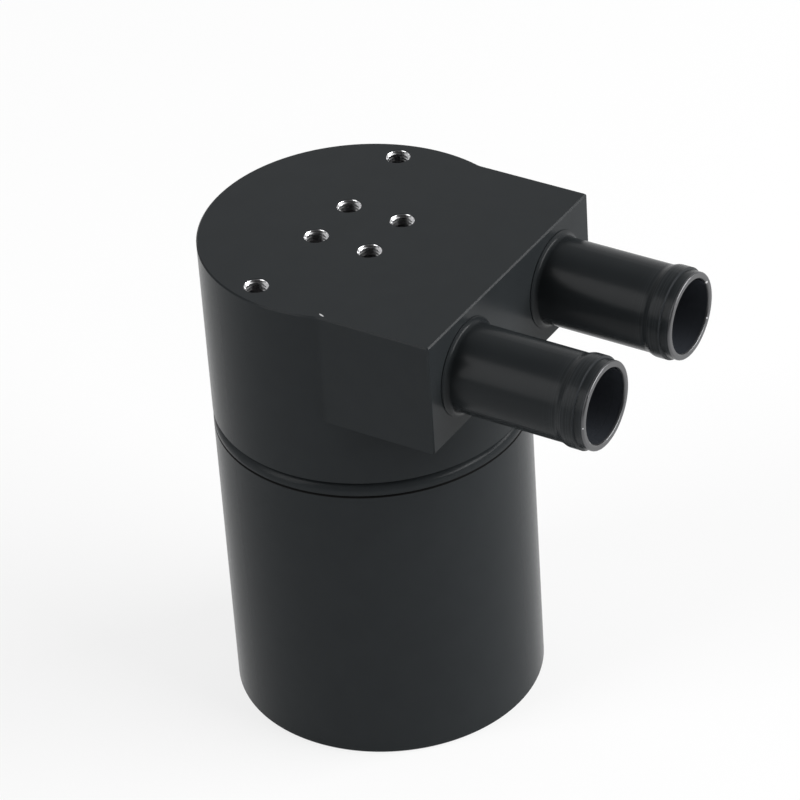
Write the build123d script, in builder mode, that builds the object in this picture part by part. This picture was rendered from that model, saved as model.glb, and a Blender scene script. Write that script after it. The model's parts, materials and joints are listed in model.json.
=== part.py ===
"""Oil catch can: a billet head with two hose tails, over a cup that unscrews from it.

Millimetres. The origin is on the can's axis at the base of the cup, +Z is up and the hose tails point to -Y.
"""

import os
from math import asin, degrees, radians, tan

from build123d import *

# Outside of the can
can_diameter = 68.0
cup_height = 68.3
head_height = 44.4
edge_break = 0.3

# Block on the front of the head, which carries the hose tails
block_side_inset = 1.5
block_overhang = 2.0
block_height = 25.7
block_corner_radius = 4.0

# Narrow groove in the head, the rounded lip between it and the cup, and the notch along the joint
groove_width = 0.75
groove_depth = 2.2
lip_height = 2.75
lip_radius = 2.0
joint_notch = 0.3

# Tapped holes in the top: four on a square and a wide pair behind the middle
top_hole_diameter = 5.0
top_hole_depth = 10.0
top_hole_countersink = 0.2
drill_point_angle = 118.0
square_hole_spacing = 13.0
pair_hole_inset = 6.0
pair_hole_setback = 7.5

# Hose tails, half way up the front of the block
tail_inset = 14.5
tail_length = 32.0
tail_diameter = 18.8
tail_wall = 1.4
tail_mouth_radius = 0.4
collar_step = 1.25
collar_rim = 0.2
collar_flat = 0.1
bead_height = 0.5
bead_land = 2.6
bead_back_slope = 1.4
bead_blend_radius = 2.0
bead_front_slope = 0.15
bead_setback = 2.3

# Shank of a hose tail, screwed into its port, with a sealing ring under the collar
shank_step = 0.4
shank_length = 12.0
shank_wall = 1.75
shank_clearance = 0.05
shank_end_room = 0.5
bore_step_depth = 3.0
port_end_room = 1.0
tail_seal_width = 1.3
tail_seal_height = 1.1
tail_seal_play = 0.05
tail_seal_bevel = 0.3
tail_seal_cover = 1.05
undercut_length = 1.8

# Cup, with an O-ring pocket in its rim and a thread below the pocket
cup_wall = 3.6
cup_floor = 4.0
cup_floor_radius = 3.0
cup_foot_break = 0.4
rim_wall = 1.6
cup_seal_width = 2.2
cup_seal_height = 1.8
cup_seal_play = 0.1
thread_depth = 0.92
thread_clearance = 0.08
cup_thread_length = 10.4

# Spigot under the head, and the filter chamber inside it
spigot_length = 10.0
spigot_wall = 3.1
spigot_chamfer = 0.8
port_floor = 8.6
plenum_depth = 4.0
screen_ledge = 1.5

# Drop tube from the inlet port down through the filter
tube_diameter = 12.0
tube_wall = 1.0
tube_seat = 7.0
tube_hang = 20.0
tube_clearance = 0.05
tube_hole_clearance = 0.2
tube_side_room = 0.4

# Upper screen, filter pad and baffle plate
screen_thickness = 1.0
screen_clearance = 0.1
pad_clearance = 0.2
baffle_thickness = 1.2
baffle_clearance = 0.1
vent_hole_diameter = 4.0
inner_vent_radius = 5.5
outer_vent_inset = 4.0
inner_vent_count = 6
middle_vent_count = 8
outer_vent_count = 12
vent_arc = 240.0

# Retaining ring that holds the baffle plate, in a groove inside the spigot
ring_thickness = 2.0
ring_play = 0.15
ring_setback = 1.5
ring_groove_depth = 1.4
ring_clearance = 0.1
ring_reach = 2.0
ring_tube_room = 0.7
ring_lug_diameter = 6.0
ring_lug_hole = 2.0

# Levels and radii that follow from the sizes above
can_radius = can_diameter / 2
top_height = cup_height + head_height
block_bottom = top_height - block_height
block_half_width = can_radius - block_side_inset
block_reach = can_radius + block_overhang
lip_top = cup_height + lip_height

top_hole_radius = top_hole_diameter / 2
top_hole_mouth_radius = top_hole_radius + top_hole_countersink
top_hole_point = top_hole_radius / tan(radians(drill_point_angle / 2))
pair_hole_offset = can_radius - pair_hole_inset

tail_height = top_height - block_height / 2
tail_offset = block_half_width - tail_inset
tail_radius = tail_diameter / 2
tail_bore_radius = tail_radius - tail_wall
collar_radius = tail_radius + collar_step
collar_root_radius = collar_step - collar_flat
bead_radius = tail_radius + bead_height
bead_end = tail_length - bead_setback
bead_land_end = bead_end - bead_front_slope
bead_land_start = bead_land_end - bead_land
bead_start = bead_land_start - bead_back_slope
shank_radius = tail_radius - shank_step
shank_bore_radius = shank_radius - shank_wall
tail_pocket_radius = collar_radius - tail_seal_cover
undercut_radius = tail_pocket_radius - tail_seal_width - 2 * tail_seal_play

cup_bore_radius = can_radius - cup_wall
rim_pocket_radius = can_radius - rim_wall
rim_pocket_floor = cup_height - cup_seal_height
cup_seal_radius = rim_pocket_radius - cup_seal_play - cup_seal_width / 2
thread_radius = cup_seal_radius - cup_seal_width / 2 - cup_seal_play
cup_thread_radius = thread_radius + thread_clearance
cup_thread_end = rim_pocket_floor - cup_thread_length

spigot_radius = thread_radius - thread_depth
spigot_end = cup_height - spigot_length
chamber_radius = spigot_radius - spigot_wall
plenum_radius = chamber_radius - screen_ledge
plenum_roof = tail_height - shank_bore_radius - port_floor
screen_seat = plenum_roof - plenum_depth
screen_bottom = screen_seat - screen_thickness
vent_hole_radius = vent_hole_diameter / 2
outer_vent_radius = plenum_radius - outer_vent_inset
middle_vent_radius = (inner_vent_radius + outer_vent_radius) / 2

tube_radius = tube_diameter / 2
tube_bore_radius = tube_radius - tube_wall
tube_reach = plenum_radius - tube_radius - tube_side_room
tube_top = plenum_roof + tube_seat
tube_bottom = spigot_end - tube_hang
tube_hole_radius = tube_radius + tube_hole_clearance
passage_top = tail_height - shank_bore_radius / 2
port_depth = block_reach + tube_bore_radius + port_end_room

ring_groove_radius = chamber_radius + ring_groove_depth
ring_bottom = spigot_end + ring_setback
ring_top = ring_bottom + ring_thickness
ring_width = ring_groove_depth - ring_clearance + ring_reach
ring_middle_radius = ring_groove_radius - ring_clearance - ring_width / 2
ring_lug_radius = ring_lug_diameter / 2
ring_lug_reach = chamber_radius - ring_lug_radius - ring_clearance
ring_half_gap = degrees(asin((tube_radius + ring_tube_room + ring_lug_radius) / ring_lug_reach))
baffle_top = ring_top + baffle_thickness

# Planes that the pieces are drawn on: the front face of the block, and a tail's section with X along the tail
front_face = Plane(origin=(0, -block_reach, tail_height), x_dir=(1, 0, 0), z_dir=(0, -1, 0))
inlet_axis = Axis((-tail_offset, -block_reach, tail_height), (0, -1, 0))
inlet_section = Plane(origin=inlet_axis.position, x_dir=(0, -1, 0), z_dir=(-1, 0, 0))

# Cutter for one tapped hole, with its mouth at the origin: countersink, bore and drilled point
with BuildPart() as top_hole:
    with BuildSketch(Plane.XZ):
        with BuildLine():
            Polyline(
                (0, 0),
                (top_hole_mouth_radius, 0),
                (top_hole_radius, -top_hole_countersink),
                (top_hole_radius, -top_hole_depth),
                (0, -top_hole_depth - top_hole_point),
                close=True,
            )
        make_face()
    revolve(axis=Axis.Z)

# Head: the D-shaped block is milled on top of a round body, which ends in the spigot that the cup screws on
with BuildPart() as head:
    with BuildSketch(Plane.XY.offset(cup_height)):
        Circle(can_radius)
    extrude(amount=head_height - block_height)
    with BuildSketch(Plane.XY.offset(block_bottom)) as head_plan:
        Circle(can_radius)
        with Locations((0, -block_reach / 2)):
            Rectangle(2 * block_half_width, block_reach)
        inner_corners = head_plan.vertices().filter_by_position(Axis.Y, -can_radius, -edge_break)
        fillet(inner_corners, block_corner_radius)
    extrude(amount=block_height)

    # Edge breaks on the block's front corners, round the top, along the block's lower edge and at the joint
    chamfer(head.edges().filter_by(Axis.Z).group_by(Axis.Y)[0], edge_break)
    chamfer(head.faces().sort_by(Axis.Z)[-1].edges(), edge_break)
    block_underside = head.faces().filter_by(Axis.Z).sort_by(Axis.Z)[1]
    lower_edge = block_underside.edges().filter_by(GeomType.LINE)
    chamfer(lower_edge.filter_by_position(Axis.Y, -block_reach, -can_radius), edge_break)
    chamfer(head.faces().sort_by(Axis.Z)[0].edges(), joint_notch)

    # Groove above the joint, and the rounding of the lip below it
    with BuildSketch(Plane.XZ):
        with Locations((can_radius, lip_top)):
            Rectangle(2 * groove_depth, groove_width, align=(Align.CENTER, Align.MIN))
    revolve(axis=Axis.Z, mode=Mode.SUBTRACT)
    lip_edges = head.edges().filter_by(GeomType.CIRCLE).filter_by_position(Axis.Z, lip_top, lip_top)
    fillet(lip_edges.sort_by(SortBy.RADIUS)[-1], lip_radius)

    # Spigot, turned to the core of its thread
    with BuildSketch(Plane.XY.offset(cup_height)):
        Circle(spigot_radius)
    extrude(amount=-spigot_length)
    chamfer(head.faces().sort_by(Axis.Z)[0].edges(), spigot_chamfer)

    # Filter chamber, the plenum above it and the two passages up to the ports
    with BuildSketch(Plane.XY.offset(spigot_end)):
        Circle(chamber_radius)
    extrude(amount=screen_seat - spigot_end, mode=Mode.SUBTRACT)
    with BuildSketch(Plane.XY.offset(screen_seat)):
        Circle(plenum_radius)
    extrude(amount=plenum_depth, mode=Mode.SUBTRACT)
    with BuildSketch(Plane.XY.offset(plenum_roof)):
        with GridLocations(2 * tube_reach, 0, 2, 1):
            Circle(tube_bore_radius)
    extrude(amount=passage_top - plenum_roof, mode=Mode.SUBTRACT)
    with BuildSketch(Plane.XY.offset(plenum_roof)):
        with Locations((-tube_reach, 0)):
            Circle(tube_radius + tube_clearance)
    extrude(amount=tube_seat, mode=Mode.SUBTRACT)

    # Ports: pocket for the sealing ring, tapped bore for the shank, then a plain bore to above the passages
    with BuildSketch(front_face):
        with GridLocations(2 * tail_offset, 0, 2, 1):
            Circle(tail_pocket_radius)
    extrude(amount=-tail_seal_height, mode=Mode.SUBTRACT)
    with BuildSketch(front_face):
        with GridLocations(2 * tail_offset, 0, 2, 1):
            Circle(shank_radius + shank_clearance)
    extrude(amount=-(shank_length + shank_end_room), mode=Mode.SUBTRACT)
    with BuildSketch(front_face):
        with GridLocations(2 * tail_offset, 0, 2, 1):
            Circle(shank_bore_radius)
    extrude(amount=-port_depth, mode=Mode.SUBTRACT)

    # Tapped holes in the top
    with Locations((0, 0, top_height)):
        with GridLocations(square_hole_spacing, square_hole_spacing, 2, 2):
            add(top_hole.part, mode=Mode.SUBTRACT)
    with Locations((0, pair_hole_setback, top_height)):
        with GridLocations(2 * pair_hole_offset, 0, 2, 1):
            add(top_hole.part, mode=Mode.SUBTRACT)

    # Groove for the retaining ring inside the spigot
    with BuildSketch(Plane.XY.offset(ring_bottom)):
        Circle(ring_groove_radius)
    extrude(amount=ring_thickness + ring_play, mode=Mode.SUBTRACT)

head.part.label = "head"

# Cup: turned from bar, with a pocket for the O-ring in its rim
with BuildPart() as cup:
    with BuildSketch(Plane.XZ) as cup_section:
        with BuildLine():
            Polyline(
                (0, 0),
                (can_radius - cup_foot_break, 0),
                (can_radius, cup_foot_break),
                (can_radius, cup_height - joint_notch),
                (can_radius - joint_notch, cup_height),
                (rim_pocket_radius, cup_height),
                (rim_pocket_radius, rim_pocket_floor),
                (cup_thread_radius, rim_pocket_floor),
                (cup_thread_radius, cup_thread_end),
                (cup_bore_radius, cup_thread_end),
                (cup_bore_radius, cup_floor),
                (0, cup_floor),
                close=True,
            )
        make_face()
        floor_corners = cup_section.vertices().filter_by_position(Axis.Y, cup_floor, cup_floor)
        fillet(floor_corners.sort_by(Axis.X)[-1], cup_floor_radius)
    revolve(axis=Axis.Z)

cup.part.label = "cup"

# O-ring in the cup's rim, pressed flat between the rim's pocket and the head
with BuildPart() as cup_seal:
    with BuildSketch(Plane.XZ):
        with Locations((cup_seal_radius, cup_height - cup_seal_height / 2)):
            SlotOverall(cup_seal_width, cup_seal_height)
    revolve(axis=Axis.Z)

cup_seal.part.label = "cup_seal"

# Hose tail: a turned tube with a flared collar that seats on the block and a bead that keeps the hose on
with BuildPart() as inlet_hose_tail:
    with BuildSketch(inlet_section) as tail_section:
        with BuildLine():
            Polyline(
                (-shank_length, shank_bore_radius),
                (-shank_length, shank_radius),
                (-undercut_length, shank_radius),
                (-undercut_length, undercut_radius),
                (0, undercut_radius),
                (0, collar_radius),
                (collar_rim, collar_radius),
                (collar_rim, tail_radius),
                (bead_start, tail_radius),
                (bead_land_start, bead_radius),
                (bead_land_end, bead_radius),
                (bead_end, tail_radius),
                (tail_length, tail_radius),
                (tail_length, tail_bore_radius),
                (bore_step_depth, tail_bore_radius),
                (bore_step_depth, shank_bore_radius),
                close=True,
            )
        make_face()
        rim_corners = tail_section.vertices().filter_by_position(Axis.X, collar_rim, collar_rim)
        fillet(rim_corners.sort_by(Axis.Y)[0], collar_root_radius)
        bead_corners = tail_section.vertices().filter_by_position(Axis.X, bead_start, bead_land_start)
        fillet(bead_corners, bead_blend_radius)
        mouth_corners = tail_section.vertices().filter_by_position(Axis.X, tail_length, tail_length)
        fillet(mouth_corners, tail_mouth_radius)
    revolve(axis=inlet_axis)

inlet_hose_tail.part.label = "inlet_hose_tail"

with BuildPart() as outlet_hose_tail:
    with Locations((2 * tail_offset, 0, 0)):
        add(inlet_hose_tail.part)

outlet_hose_tail.part.label = "outlet_hose_tail"

# Sealing rings under the collars of the tails
with BuildPart() as inlet_tail_seal:
    with BuildSketch(inlet_section) as tail_seal_section:
        with Locations((-tail_seal_height / 2, undercut_radius + tail_seal_play + tail_seal_width / 2)):
            Rectangle(tail_seal_height, tail_seal_width)
        chamfer(tail_seal_section.vertices(), tail_seal_bevel)
    revolve(axis=inlet_axis)

inlet_tail_seal.part.label = "inlet_tail_seal"

with BuildPart() as outlet_tail_seal:
    with Locations((2 * tail_offset, 0, 0)):
        add(inlet_tail_seal.part)

outlet_tail_seal.part.label = "outlet_tail_seal"

# Drop tube, pressed into the inlet passage
with BuildPart() as drop_tube:
    with BuildSketch(Plane.XY.offset(tube_bottom)):
        with Locations((-tube_reach, 0)):
            Circle(tube_radius)
            Circle(tube_bore_radius, mode=Mode.SUBTRACT)
    extrude(amount=tube_top - tube_bottom)

drop_tube.part.label = "drop_tube"

# Vent holes shared by the upper screen and the baffle plate, kept clear of the drop tube
with BuildSketch() as vent_holes:
    with PolarLocations(inner_vent_radius, inner_vent_count):
        Circle(vent_hole_radius)
    with PolarLocations(middle_vent_radius, middle_vent_count, -vent_arc / 2, vent_arc, endpoint=True):
        Circle(vent_hole_radius)
    with PolarLocations(outer_vent_radius, outer_vent_count, -vent_arc / 2, vent_arc, endpoint=True):
        Circle(vent_hole_radius)
    with Locations((-tube_reach, 0)):
        Circle(tube_hole_radius)

# Upper screen, seated on the ledge below the plenum
with BuildPart() as upper_screen:
    with BuildSketch(Plane.XY.offset(screen_bottom)):
        Circle(chamber_radius - screen_clearance)
        add(vent_holes.sketch, mode=Mode.SUBTRACT)
    extrude(amount=screen_thickness)

upper_screen.part.label = "upper_screen"

# Filter pad between the screen and the baffle plate
with BuildPart() as filter_pad:
    with BuildSketch(Plane.XY.offset(baffle_top)):
        Circle(chamber_radius - pad_clearance)
        with Locations((-tube_reach, 0)):
            Circle(tube_hole_radius, mode=Mode.SUBTRACT)
    extrude(amount=screen_bottom - baffle_top)

filter_pad.part.label = "filter_pad"

# Baffle plate, which carries the pad and rests on the retaining ring
with BuildPart() as baffle_plate:
    with BuildSketch(Plane.XY.offset(ring_top)):
        Circle(chamber_radius - baffle_clearance)
        add(vent_holes.sketch, mode=Mode.SUBTRACT)
    extrude(amount=baffle_thickness)

baffle_plate.part.label = "baffle_plate"

# Retaining ring: an open spring ring with a lug at each end, its gap beside the drop tube
with BuildPart() as retaining_ring:
    with BuildSketch(Plane.XY.offset(ring_bottom)):
        with BuildLine():
            CenterArc((0, 0), ring_middle_radius, ring_half_gap - 180, 360 - 2 * ring_half_gap)
        trace(line_width=ring_width)
        with PolarLocations(ring_lug_reach, 2, 180 - ring_half_gap, 2 * ring_half_gap, endpoint=True):
            Circle(ring_lug_radius)
            Circle(ring_lug_hole / 2, mode=Mode.SUBTRACT)
    extrude(amount=ring_thickness)

retaining_ring.part.label = "retaining_ring"

os.makedirs("parts", exist_ok=True)
export_step(head.part, "parts/head.step")
export_step(cup.part, "parts/cup.step")
export_step(cup_seal.part, "parts/cup_seal.step")
export_step(inlet_hose_tail.part, "parts/inlet_hose_tail.step")
export_step(outlet_hose_tail.part, "parts/outlet_hose_tail.step")
export_step(inlet_tail_seal.part, "parts/inlet_tail_seal.step")
export_step(outlet_tail_seal.part, "parts/outlet_tail_seal.step")
export_step(drop_tube.part, "parts/drop_tube.step")
export_step(upper_screen.part, "parts/upper_screen.step")
export_step(filter_pad.part, "parts/filter_pad.step")
export_step(baffle_plate.part, "parts/baffle_plate.step")
export_step(retaining_ring.part, "parts/retaining_ring.step")
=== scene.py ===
import json
from math import cos, pi, radians, sin

import bmesh
import bpy
from mathutils import Matrix, Vector


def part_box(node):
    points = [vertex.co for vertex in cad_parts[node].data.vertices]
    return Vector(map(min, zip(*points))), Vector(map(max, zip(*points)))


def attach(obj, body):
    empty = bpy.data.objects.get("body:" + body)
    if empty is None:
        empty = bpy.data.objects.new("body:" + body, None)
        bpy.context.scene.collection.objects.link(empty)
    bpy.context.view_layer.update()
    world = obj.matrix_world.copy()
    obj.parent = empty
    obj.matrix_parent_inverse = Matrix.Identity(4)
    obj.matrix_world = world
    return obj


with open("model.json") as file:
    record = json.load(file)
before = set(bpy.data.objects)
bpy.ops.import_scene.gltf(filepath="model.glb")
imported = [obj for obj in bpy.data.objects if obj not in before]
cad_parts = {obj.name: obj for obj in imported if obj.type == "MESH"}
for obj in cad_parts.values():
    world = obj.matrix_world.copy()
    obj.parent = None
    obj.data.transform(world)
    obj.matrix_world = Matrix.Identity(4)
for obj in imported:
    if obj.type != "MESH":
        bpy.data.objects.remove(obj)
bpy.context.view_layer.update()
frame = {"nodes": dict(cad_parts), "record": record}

# Head: one aluminium billet, turned round below and milled to a square block in front for the hose tails.
# It is anodised black after machining, which leaves a thin satin skin over the cutter's fine marks.
# A nick near the end of the block's flank shows bare metal, and the notch of the joint with the cup is
# painted dark as shade.
mm = 0.001
head_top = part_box("head")[1].z
anodise_light = (0.0201, 0.0227, 0.0244, 1)
anodise_dark = (0.0173, 0.0196, 0.0211, 1)
anodise_gloss = 0.06
anodise_index = 1.5
anodise_roughness = (0.23, 0.27)
anodise_grain = 0.0003 * mm
dye_clouds = 160
skin_clouds = 900
grain_clouds = 7000
cloud_range = (0.3, 0.7)
bare_metal = (0.77, 0.77, 0.78, 1)
worn_roughness = 0.35
spot_clouds = 3000
spot_ragged = 0.4
spot_edge = (0.8, 1.1)
nick_place = Vector((-31.335 * mm, -10.315 * mm, head_top))
nick_size = Vector((0.20, 0.66, 0.4)) * mm
nick_turn = radians(-18.7)
joint_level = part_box("cup")[1].z
# Painted shade: the notch of the joint is coloured near black and dulled on both the head and the cup.
joint_painted_shade = (0.004, 0.004, 0.004, 1)
joint_shade_edge = (0.25 * mm, 0.35 * mm)
shade_roughness = 0.7


def feed(finish, socket, value):
    """Sets a socket to a value, or links it to the output that varies it over the surface."""
    if isinstance(value, bpy.types.NodeSocket):
        finish.node_tree.links.new(value, socket)
    else:
        socket.default_value = value


def add_node(finish, kind, inputs, **settings):
    """Adds a node with its settings, and feeds its inputs by name or number."""
    node = finish.node_tree.nodes.new(kind)
    for name, value in settings.items():
        setattr(node, name, value)
    for name, value in inputs.items():
        feed(finish, node.inputs[name], value)
    return node


def new_finish(name):
    """A finish with its principled shader, and the place on the object in metres."""
    finish = bpy.data.materials.new(name)
    finish.use_nodes = True
    shader = finish.node_tree.nodes["Principled BSDF"]
    place = add_node(finish, "ShaderNodeTexCoord", {}).outputs["Object"]
    return finish, shader, place


def mottle(finish, place, scale, detail=2):
    """Even cloudy pattern from 0 to 1, with about scale clouds to a metre."""
    clouds = add_node(finish, "ShaderNodeTexNoise", {"Vector": place, "Scale": scale, "Detail": detail})
    return clouds.outputs["Fac"]


def between(finish, share, first, second):
    """Colour that goes from the first to the second as share goes from 0 to 1."""
    mix = add_node(finish, "ShaderNodeMix", {0: share, 6: first, 7: second}, data_type="RGBA")
    return mix.outputs[2]


def stretch(finish, value, low, high, from_low=0.0, from_high=1.0):
    """Value moved from one range to another, and held at the ends."""
    ranged = add_node(finish, "ShaderNodeMapRange", {0: value, 1: from_low, 2: from_high, 3: low, 4: high})
    return ranged.outputs[0]


def combine(finish, operation, first, second):
    return add_node(finish, "ShaderNodeMath", {0: first, 1: second}, operation=operation).outputs[0]


def absolute(finish, value):
    return add_node(finish, "ShaderNodeMath", {0: value}, operation="ABSOLUTE").outputs[0]


def length(finish, vector):
    return add_node(finish, "ShaderNodeVectorMath", {0: vector}, operation="LENGTH").outputs["Value"]


def along(finish, place, axis):
    return add_node(finish, "ShaderNodeSeparateXYZ", {"Vector": place}).outputs[axis]


def coat(finish, shader, inputs):
    for name, value in inputs.items():
        feed(finish, shader.inputs[name], value)


def relief(finish, height, depth):
    """Normal of a surface with fine bumps of the given depth."""
    bump = add_node(finish, "ShaderNodeBump", {"Height": height, "Strength": 1.0, "Distance": depth})
    return bump.outputs["Normal"]


def black_anodise(name, marks=None, dark=anodise_dark, light=anodise_light, gloss=anodise_gloss):
    """Black anodise over machined metal; marks gives the height of the cutter's marks over its grain."""
    finish, shader, place = new_finish(name)
    dye = mottle(finish, place, dye_clouds, detail=3)
    skin = mottle(finish, place, skin_clouds, detail=4)
    height = mottle(finish, place, grain_clouds, detail=3)
    if marks:
        height = combine(finish, "ADD", height, marks(finish, place))
    inputs = {
        "Base Color": between(finish, dye, dark, light),
        "Roughness": stretch(finish, skin, *anodise_roughness, *cloud_range),
        "Normal": relief(finish, height, anodise_grain),
        "IOR": anodise_index,
        "Specular IOR Level": gloss,
    }
    coat(finish, shader, inputs)
    return finish, shader, place


def bare_spot(finish, place, centre, size, turn):
    """Share of bare metal round a scuff of the given half sizes, with a ragged edge."""
    inputs = {"Vector": place, "Location": centre, "Rotation": (0, 0, turn), "Scale": size}
    local = add_node(finish, "ShaderNodeMapping", inputs, vector_type="TEXTURE").outputs[0]
    raggedness = stretch(finish, mottle(finish, place, spot_clouds), -spot_ragged, spot_ragged)
    reach = combine(finish, "ADD", length(finish, local), raggedness)
    return stretch(finish, reach, 1.0, 0.0, *spot_edge)


def wear_through(finish, shader, share, metal=bare_metal):
    """Shows metal through the skin where share is 1, besides where it is worn through already."""
    colour = shader.inputs["Base Color"].links[0].from_socket
    roughness = shader.inputs["Roughness"].links[0].from_socket
    worn = shader.inputs["Metallic"].links
    inputs = {
        "Base Color": between(finish, share, colour, metal),
        "Metallic": combine(finish, "MAXIMUM", worn[0].from_socket, share) if worn else share,
        "Roughness": stretch(finish, share, roughness, worn_roughness),
    }
    coat(finish, shader, inputs)


def paint_shade(finish, shader, share, shade_colour):
    """Paints shade on the skin where share is 1, as a dark and dull colour."""
    colour = shader.inputs["Base Color"].links[0].from_socket
    roughness = shader.inputs["Roughness"].links[0].from_socket
    inputs = {
        "Base Color": between(finish, share, colour, shade_colour),
        "Roughness": stretch(finish, share, roughness, shade_roughness),
    }
    coat(finish, shader, inputs)


def in_joint(finish, place):
    """Share of the painted shade in the notch where the cup meets the head."""
    off_level = combine(finish, "SUBTRACT", along(finish, place, "Z"), joint_level)
    return stretch(finish, absolute(finish, off_level), 1.0, 0.0, *joint_shade_edge)


def dress(node, finish):
    """Gives a node of the frame its finish."""
    mesh = frame["nodes"][node].data
    mesh.materials.clear()
    mesh.materials.append(finish)


head_finish, head_shader, head_place = black_anodise("head_anodise")
nick = bare_spot(head_finish, head_place, nick_place, nick_size, nick_turn)
wear_through(head_finish, head_shader, nick)
# Painted shade: the notch of the joint with the cup is darkened in the colour.
paint_shade(head_finish, head_shader, in_joint(head_finish, head_place), joint_painted_shade)
dress("head", head_finish)

# Tapped holes: six M5 threads cut into the top after anodising, so they are bright metal almost to the rim.
# Each is drilled with a pointed drill and countersunk a little, and tapped to most of its depth at the last.
hole_rim = 0.12 * mm
hole_countersink = 2.7 * mm
hole_mouth = hole_countersink - hole_rim
hole_wall = 2.5 * mm
hole_drill = 2.07 * mm
hole_depth = 10 * mm
hole_point = 1.5 * mm
hole_pitch = 0.8 * mm
hole_floor = hole_pitch / 4
hole_thread_length = 8.4 * mm
lining_skin = 0.005 * mm
lining_root = hole_wall - 4 * lining_skin
lining_mouth = hole_mouth - 2 * lining_skin
root_flat = 1 / 4
flank = 5 / 16
crest_flat = 1 / 8
profile_steps = 16
weld_distance = 0.0002 * mm
sharp_edge = radians(35)
tapped_roughness = 0.18
metal_clouds = 1500
metal_dullest = 0.86
metal_roughness_spread = 0.06
chatter_clouds = 9000
chatter_depth = 0.001 * mm


def thread_height(phase):
    """Height of a metric thread over its root, from 0 to 1, at a share of its pitch."""
    phase %= 1.0
    if phase < root_flat:
        return 0.0
    if phase < root_flat + flank:
        return (phase - root_flat) / flank
    if phase < root_flat + flank + crest_flat:
        return 1.0
    return (1.0 - phase) / flank


def cut_thread(name, pitch, root, crest, bottom, top, back, mouth=None, segments=48):
    """Mesh of a right-hand thread between two levels; back closes its section, from the top to the bottom.
    A row of the thread that runs past an end stops there, and a countersunk mouth cuts it at 45 degrees."""
    turns = int((top - bottom) / pitch) + 1
    shares = [turn + step / profile_steps for turn in range(-1, turns + 1) for step in range(profile_steps)]
    mesh = bmesh.new()
    columns = []
    for column in range(segments + 1):
        angle = column / segments
        section = []
        for share in shares:
            level = min(max(bottom + (share + angle) * pitch, bottom), top)
            radius = root + (crest - root) * thread_height((level - bottom) / pitch - angle)
            if mouth:
                radius = max(radius, mouth - (top - level))
            section.append((radius, level))
        section.extend(back)
        turn = 2 * pi * angle
        columns.append([mesh.verts.new((r * cos(turn), r * sin(turn), z)) for r, z in section])
    for left, right in zip(columns, columns[1:]):
        for row in range(len(left)):
            mesh.faces.new((left[row - 1], left[row], right[row], right[row - 1]))
    bmesh.ops.remove_doubles(mesh, verts=mesh.verts, dist=weld_distance)
    bmesh.ops.recalc_face_normals(mesh, faces=mesh.faces)
    made = bpy.data.meshes.new(name)
    mesh.to_mesh(made)
    mesh.free()
    made.polygons.foreach_set("use_smooth", [True] * len(made.polygons))
    made.set_sharp_from_angle(angle=sharp_edge)
    return made


def add_piece(name, mesh, finish, body, place=(0, 0, 0)):
    """Puts a piece in its place with its finish, and fixes it to the body that carries it."""
    piece = bpy.data.objects.new(name, mesh)
    bpy.context.scene.collection.objects.link(piece)
    if not mesh.materials:
        mesh.materials.append(finish)
    piece.location = place
    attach(piece, body)


def cut_metal(name, colour, roughness):
    """Bare metal with the fine chatter of the cutter."""
    finish, shader, place = new_finish(name)
    tone = mottle(finish, place, metal_clouds, detail=3)
    chatter = mottle(finish, place, chatter_clouds)
    dull = tuple(metal_dullest * value for value in colour[:3]) + (1,)
    smooth_end = roughness - metal_roughness_spread
    rough_end = roughness + metal_roughness_spread
    inputs = {
        "Base Color": between(finish, tone, dull, colour),
        "Metallic": 1.0,
        "Roughness": stretch(finish, tone, smooth_end, rough_end, *cloud_range),
        "Normal": relief(finish, chatter, chatter_depth),
    }
    coat(finish, shader, inputs)
    return finish


tapped_metal = cut_metal("cut_aluminium", bare_metal, tapped_roughness)
hole_back = [
    (hole_mouth - lining_skin, -hole_rim),
    (hole_wall - lining_skin, -hole_rim - (hole_mouth - hole_wall)),
    (hole_wall - lining_skin, -hole_depth),
    (0, -hole_depth - hole_point + lining_skin),
    (0, -hole_depth - hole_drill / hole_wall * hole_point + hole_floor),
    (hole_drill, -hole_depth + hole_floor),
    (hole_drill, -hole_thread_length),
]
hole_thread = cut_thread(
    "hole_thread",
    hole_pitch,
    lining_root,
    hole_drill,
    -hole_thread_length,
    -hole_rim,
    hole_back,
    lining_mouth,
)
mounts = {mount["name"]: mount for mount in frame["record"]["mounts"]}
square = mounts["top_square_holes"]
pair = mounts["top_pair_holes"]
square_half = square["dims"]["spacing_x_mm"] / 2 * mm
pair_half = pair["dims"]["spacing_x_mm"] / 2 * mm
hole_places = []
for x in (-square_half, square_half):
    for y in (-square_half, square_half):
        hole_places.append(Vector(square["pos_m"]) + Vector((x, y, 0)))
for x in (-pair_half, pair_half):
    hole_places.append(Vector(pair["pos_m"]) + Vector((x, 0, 0)))
for number, hole_place in enumerate(hole_places, 1):
    add_piece(f"hole_thread_{number}", hole_thread, tapped_metal, "head", hole_place)

# Hose tails: two turned aluminium tubes, screwed into ports in the block until their collars seat on it.
# They are anodised a deeper, glossier black than the head, over lathe marks that coarsen towards the mouth.
# The rim of the mouth is rubbed to a dark metal sheen, and knocked through to bare metal at a few points.
tail_axis_x, _, tail_axis_z = mounts["outlet_hose"]["pos_m"]
tail_mouth_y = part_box("inlet_hose_tail")[0].y
tail_bore = 8 * mm
tail_light = (0.0165, 0.0186, 0.0200, 1)
tail_dark = (0.0142, 0.0161, 0.0173, 1)
tail_gloss = 0.075
tail_mark_rings = 3200
tail_mark_depths = (150, 8)
tail_mark_run = (tail_mouth_y + 5 * mm, tail_mouth_y + 11 * mm)
pale_dye = (0.026, 0.0285, 0.031, 1)
pale_rings = 2200
pale_range = (0.45, 0.65)
pale_run = (tail_mouth_y + 5 * mm, tail_mouth_y + 10 * mm)
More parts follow.
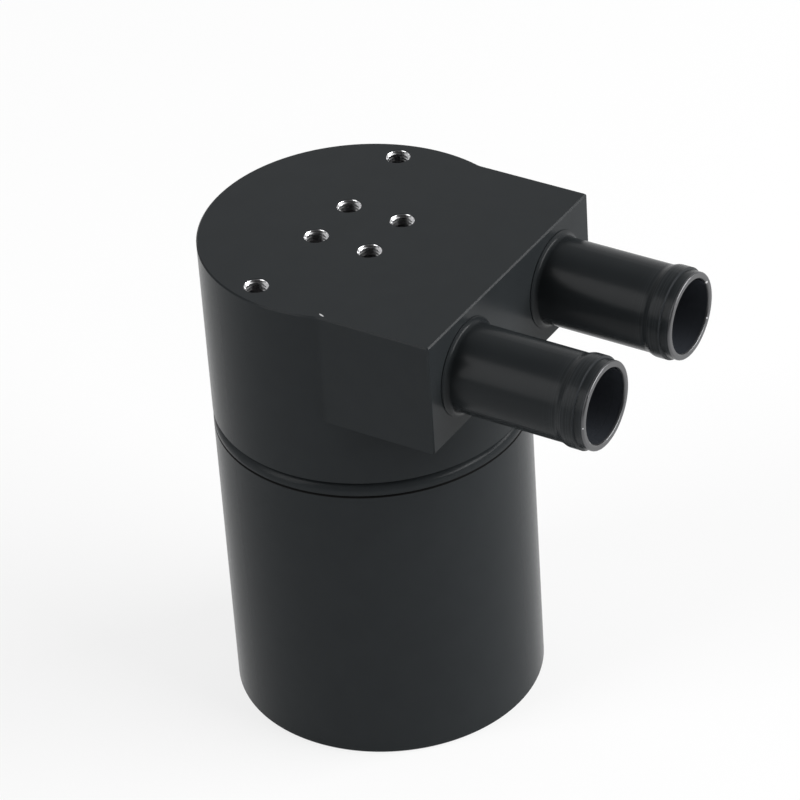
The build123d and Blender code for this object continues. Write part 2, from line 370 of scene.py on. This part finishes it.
# Painted light: the bore is coloured paler than the tail's outside, to stand in for light inside it.
bore_painted_light = (0.030, 0.033, 0.039, 1)
bore_edge = (tail_bore + 0.05 * mm, tail_bore + 0.3 * mm)
rim_metal = (0.125, 0.126, 0.130, 1)
rim_run = (tail_mouth_y + 0.25 * mm, tail_mouth_y + 0.6 * mm)
scuff_y = tail_mouth_y + 0.1 * mm
# Side of the can, degrees round the mouth, radius and half size of each scuff
mouth_scuffs = [
    (-1, 178, 9.3 * mm, 0.14 * mm),
    (-1, 214, 8.2 * mm, 0.17 * mm),
    (1, 327, 8.2 * mm, 0.22 * mm),
    (1, 31, 8.2 * mm, 0.38 * mm),
]


def lathe_rings(finish, run, scale):
    """Uneven rings from 0 to 1 along a turned surface, with about scale rings to a metre."""
    inputs = {"W": run, "Scale": scale, "Detail": 2}
    return add_node(finish, "ShaderNodeTexNoise", inputs, noise_dimensions="1D").outputs["Fac"]


def tail_marks(finish, place):
    """Lathe marks along a tail: faint near the block, and deeper from the bead to the mouth."""
    run = along(finish, place, "Y")
    depth = stretch(finish, run, *tail_mark_depths, *tail_mark_run)
    return combine(finish, "MULTIPLY", lathe_rings(finish, run, tail_mark_rings), depth)


tail_finish, tail_shader, tail_place = black_anodise(
    "tail_anodise", tail_marks, tail_dark, tail_light, tail_gloss
)
tail_run = along(tail_finish, tail_place, "Y")
near_mouth = stretch(tail_finish, tail_run, 1.0, 0.0, *pale_run)
ring_pattern = stretch(tail_finish, lathe_rings(tail_finish, tail_run, pale_rings), 0.0, 1.0, *pale_range)
ring_share = combine(tail_finish, "MULTIPLY", near_mouth, ring_pattern)
even_dye = tail_shader.inputs["Base Color"].links[0].from_socket
outer_dye = between(tail_finish, ring_share, even_dye, pale_dye)
off_side = absolute(tail_finish, along(tail_finish, tail_place, "X"))
off_x = combine(tail_finish, "SUBTRACT", off_side, tail_axis_x)
off_z = combine(tail_finish, "SUBTRACT", along(tail_finish, tail_place, "Z"), tail_axis_z)
off_axis = add_node(tail_finish, "ShaderNodeCombineXYZ", {"X": off_x, "Z": off_z}).outputs[0]
bore_light_share = stretch(tail_finish, length(tail_finish, off_axis), 1.0, 0.0, *bore_edge)
# Painted light: the paler colour inside the bore stands in for the light there.
coat(tail_finish, tail_shader, {"Base Color": between(tail_finish, bore_light_share, outer_dye, bore_painted_light)})
rim_share = stretch(tail_finish, tail_run, 1.0, 0.0, *rim_run)
wear_through(tail_finish, tail_shader, rim_share, rim_metal)
scuffed = None
for side, degrees_round, radius, scuff_size in mouth_scuffs:
    angle = radians(degrees_round)
    scuff_x = side * tail_axis_x + radius * cos(angle)
    scuff_z = tail_axis_z + radius * sin(angle)
    scuff_place = Vector((scuff_x, scuff_y, scuff_z))
    spot = bare_spot(tail_finish, tail_place, scuff_place, Vector((1, 1, 1)) * scuff_size, 0)
    scuffed = combine(tail_finish, "MAXIMUM", scuffed, spot) if scuffed else spot
wear_through(tail_finish, tail_shader, scuffed)
dress("inlet_hose_tail", tail_finish)
dress("outlet_hose_tail", tail_finish)

# Sealing rings: black nitrile rubber, two under the tails' collars and one between the cup and the head.
# They are moulded, so they have a dull even skin, and are squeezed when the pieces are screwed together.
rubber_dark = (0.010, 0.010, 0.011, 1)
rubber_light = (0.018, 0.018, 0.019, 1)
rubber_roughness = (0.5, 0.65)
rubber_clouds = 600
rubber_grain_clouds = 5000
rubber_grain = 0.004 * mm

rubber, rubber_shader, rubber_place = new_finish("seal_rubber")
rubber_tone = mottle(rubber, rubber_place, rubber_clouds, detail=3)
rubber_skin = mottle(rubber, rubber_place, rubber_grain_clouds)
rubber_inputs = {
    "Base Color": between(rubber, rubber_tone, rubber_dark, rubber_light),
    "Roughness": stretch(rubber, rubber_tone, *rubber_roughness, *cloud_range),
    "Normal": relief(rubber, rubber_skin, rubber_grain),
}
coat(rubber, rubber_shader, rubber_inputs)
for seal in ("inlet_tail_seal", "outlet_tail_seal", "cup_seal"):
    dress(seal, rubber)

# Drop tube: plain drawn aluminium tube, pressed into the passage under the inlet port.
# It is left bare, and hangs down through the filter into the cup.
drawn_roughness = 0.34
dress("drop_tube", cut_metal("drawn_aluminium", bare_metal, drawn_roughness))

# Upper screen, baffle plate and retaining ring: stainless sheet and spring steel, stamped and left bare.
# The ring springs into its groove in the spigot and holds the plates and the pad up in the chamber.
steel_colour = (0.56, 0.55, 0.54, 1)
steel_roughness = 0.3
stainless = cut_metal("stainless_sheet", steel_colour, steel_roughness)
for plate in ("upper_screen", "baffle_plate", "retaining_ring"):
    dress(plate, stainless)

# Filter pad: a thick disc of pressed fibre between the two plates, which the gas passes through.
# Its surface is a felt of fine pale strands.
felt_dark = (0.55, 0.54, 0.50, 1)
felt_light = (0.86, 0.85, 0.80, 1)
felt_roughness = (0.85, 1.0)
strand_clouds = 2500
strand_depth = 0.1 * mm

felt, felt_shader, felt_place = new_finish("pressed_fibre")
strands = mottle(felt, felt_place, strand_clouds, detail=6)
felt_inputs = {
    "Base Color": between(felt, strands, felt_dark, felt_light),
    "Roughness": stretch(felt, strands, *felt_roughness),
    "Normal": relief(felt, strands, strand_depth),
}
coat(felt, felt_shader, felt_inputs)
dress("filter_pad", felt)

# Cup: turned from solid bar with a flat base, anodised black, and screwed up on the head's spigot.
# The lathe leaves fine rings round it, and the two halves of the thread are cut on the spigot and in its rim.
cup_ring_scale = 4500
screw_pitch = 1.5 * mm
screw_segments = 128
screw_root_inset = 0.06 * mm
spigot_core = 29.08 * mm
spigot_crest = 29.92 * mm
spigot_back = spigot_core - screw_root_inset
spigot_thread_bottom = 59.3 * mm
spigot_thread_top = 66.2 * mm
cup_root = 30.08 * mm
cup_crest = 29.2 * mm
cup_back = cup_root + screw_root_inset
cup_thread_turns = 6
cup_turns_below = 1.5
cup_thread_bottom = spigot_thread_bottom - cup_turns_below * screw_pitch
cup_thread_top = cup_thread_bottom + cup_thread_turns * screw_pitch


def cup_rings(finish, place):
    return lathe_rings(finish, along(finish, place, "Z"), cup_ring_scale)


def cut_screw(name, root, crest, back, bottom, top):
    """One half of the cup's screw thread, with a plain round back of the given radius."""
    section_back = [(back, top), (back, bottom)]
    return cut_thread(name, screw_pitch, root, crest, bottom, top, section_back, segments=screw_segments)


cup_finish, cup_shader, cup_place = black_anodise("cup_anodise", cup_rings)
# Painted shade: the notch of the joint with the head is darkened in the colour.
paint_shade(cup_finish, cup_shader, in_joint(cup_finish, cup_place), joint_painted_shade)
dress("cup", cup_finish)
spigot_thread = cut_screw(
    "spigot_thread", spigot_core, spigot_crest, spigot_back, spigot_thread_bottom, spigot_thread_top
)
add_piece("spigot_thread", spigot_thread, head_finish, "head")
cup_thread = cut_screw("cup_thread", cup_root, cup_crest, cup_back, cup_thread_bottom, cup_thread_top)
add_piece("cup_thread", cup_thread, cup_finish, "cup")

# Floor: a wide sweep of white paper on a table that is lit from below as well, so shadows on it are weak.
# The can stands on it and keeps a soft shadow on the inlet's side.
floor_half = 6.0
floor_white = (0.98, 0.98, 0.98, 1)
floor_lit_share = 0.78
paper_dark = (0.90, 0.90, 0.90, 1)
paper_light = (0.92, 0.92, 0.92, 1)
paper_clouds = 30
paper_roughness = 0.95
paper_gloss = 0.1

floor_mesh = bpy.data.meshes.new("floor")
floor_ends = (-floor_half, floor_half)
floor_corners = [(x, y, 0) for x in floor_ends for y in floor_ends]
floor_mesh.from_pydata(floor_corners, [], [(0, 2, 3, 1)])
floor = bpy.data.objects.new("floor", floor_mesh)
bpy.context.scene.collection.objects.link(floor)
paper, paper_shader, paper_place = new_finish("white_paper")
paper_tone = mottle(paper, paper_place, paper_clouds, detail=3)
paper_inputs = {
    "Base Color": between(paper, paper_tone, paper_dark, paper_light),
    "Roughness": paper_roughness,
    "Specular IOR Level": paper_gloss,
}
coat(paper, paper_shader, paper_inputs)
rays = add_node(paper, "ShaderNodeLightPath", {}).outputs
seen = combine(paper, "ADD", rays["Is Camera Ray"], rays["Is Glossy Ray"])
seen = combine(paper, "ADD", seen, rays["Is Transmission Ray"])
lit_share = stretch(paper, seen, 0.0, floor_lit_share)
floor_glow = add_node(paper, "ShaderNodeEmission", {"Color": floor_white, "Strength": 1.0}).outputs[0]
paper_mix = add_node(paper, "ShaderNodeMixShader", {0: lit_share, 1: paper_shader.outputs[0], 2: floor_glow})
feed(paper, paper.node_tree.nodes["Material Output"].inputs["Surface"], paper_mix.outputs[0])
floor_mesh.materials.append(paper)

# Light: a pale studio, brightest at its back wall, and dark at its ceiling and on the camera's side.
# A long strip lamp stands in front of the tails, and a tall soft lamp behind the can on the inlet's side.


def way_to(azimuth, elevation):
    """Direction from the can at an azimuth and an elevation in degrees."""
    level = radians(azimuth)
    tilt = radians(elevation)
    return Vector((cos(level) * cos(tilt), sin(level) * cos(tilt), sin(tilt)))


studio_white = (1, 1, 1, 1)
studio_level = 0.6
ceiling_level = 0.03
ceiling_edge = (sin(radians(56)), sin(radians(66)))
back_wall = way_to(38, 5)
back_level = 1.15
back_edge = (0.82, 1.0)
dark_side = way_to(214, 20)
dark_share = 0.1
dark_edge = (0.5, 0.85)
lamp_aim = Vector((0, 0, 60 * mm))
lamp_distance = 2.0

world = bpy.data.worlds.new("studio")
bpy.context.scene.world = world
world.use_nodes = True
gaze = add_node(world, "ShaderNodeTexCoord", {}).outputs["Generated"]


def facing(way):
    """How far the gaze turns to a direction: 1 straight at it, 0 across it."""
    turned = add_node(world, "ShaderNodeVectorMath", {0: gaze, 1: way}, operation="DOT_PRODUCT")
    return turned.outputs["Value"]


wall_glow = stretch(world, along(world, gaze, "Z"), studio_level, ceiling_level, *ceiling_edge)
back_glow = stretch(world, facing(back_wall), 0.0, back_level - studio_level, *back_edge)
side_shade = stretch(world, facing(dark_side), 1.0, dark_share, *dark_edge)
glow = combine(world, "ADD", wall_glow, back_glow)
sky = world.node_tree.nodes["Background"]
coat(world, sky, {"Color": studio_white, "Strength": combine(world, "MULTIPLY", glow, side_shade)})


def soft_lamp(name, way, width, height, level):
    """A soft lamp of the given width and height and an even brightness, turned to the can."""
    data = bpy.data.lights.new(name, "AREA")
    data.shape = "RECTANGLE"
    data.size = width
    data.size_y = height
    data.energy = pi * width * height * level
    lamp = bpy.data.objects.new(name, data)
    bpy.context.scene.collection.objects.link(lamp)
    turn = way.to_track_quat("Z", "Y").to_matrix().to_4x4()
    lamp.matrix_world = Matrix.Translation(lamp_aim + lamp_distance * way) @ turn
    lamp.visible_camera = False


soft_lamp("front_strip", way_to(-68, 29), width=2.2, height=0.6, level=13.6)
soft_lamp("side_softbox", way_to(146, 32), width=0.9, height=1.7, level=3.9)

# Camera: a long lens that looks down on the can from the inlet's side, a little tilted.
# Its place and tilt were found from the can's own edges.
view_azimuth = radians(-56.518)
view_elevation = radians(34.512)
view_roll = radians(-4.035)
view_distance = 903.3 * mm
view_offset = 5.92 * mm
view_height = 68.77 * mm
view_lens = 190.4
view_sensor = 36
view_reach = 50

camera_data = bpy.data.cameras.new("camera")
camera_data.lens = view_lens
camera_data.sensor_width = view_sensor
camera_data.clip_end = view_reach
camera = bpy.data.objects.new("camera", camera_data)
bpy.context.scene.collection.objects.link(camera)
view_level = Vector((sin(view_azimuth), -cos(view_azimuth), 0))
view_back = cos(view_elevation) * view_level + Vector((0, 0, sin(view_elevation)))
view_right = Vector((cos(view_azimuth), sin(view_azimuth), 0))
view_target = view_offset * view_right + Vector((0, 0, view_height))
camera.matrix_world = (
    Matrix.Translation(view_target + view_distance * view_back)
    @ (-view_back).to_track_quat("-Z", "Y").to_matrix().to_4x4()
    @ Matrix.Rotation(view_roll, 4, "Z")
)
bpy.context.scene.camera = camera
bpy.context.scene.view_settings.view_transform = "Standard"
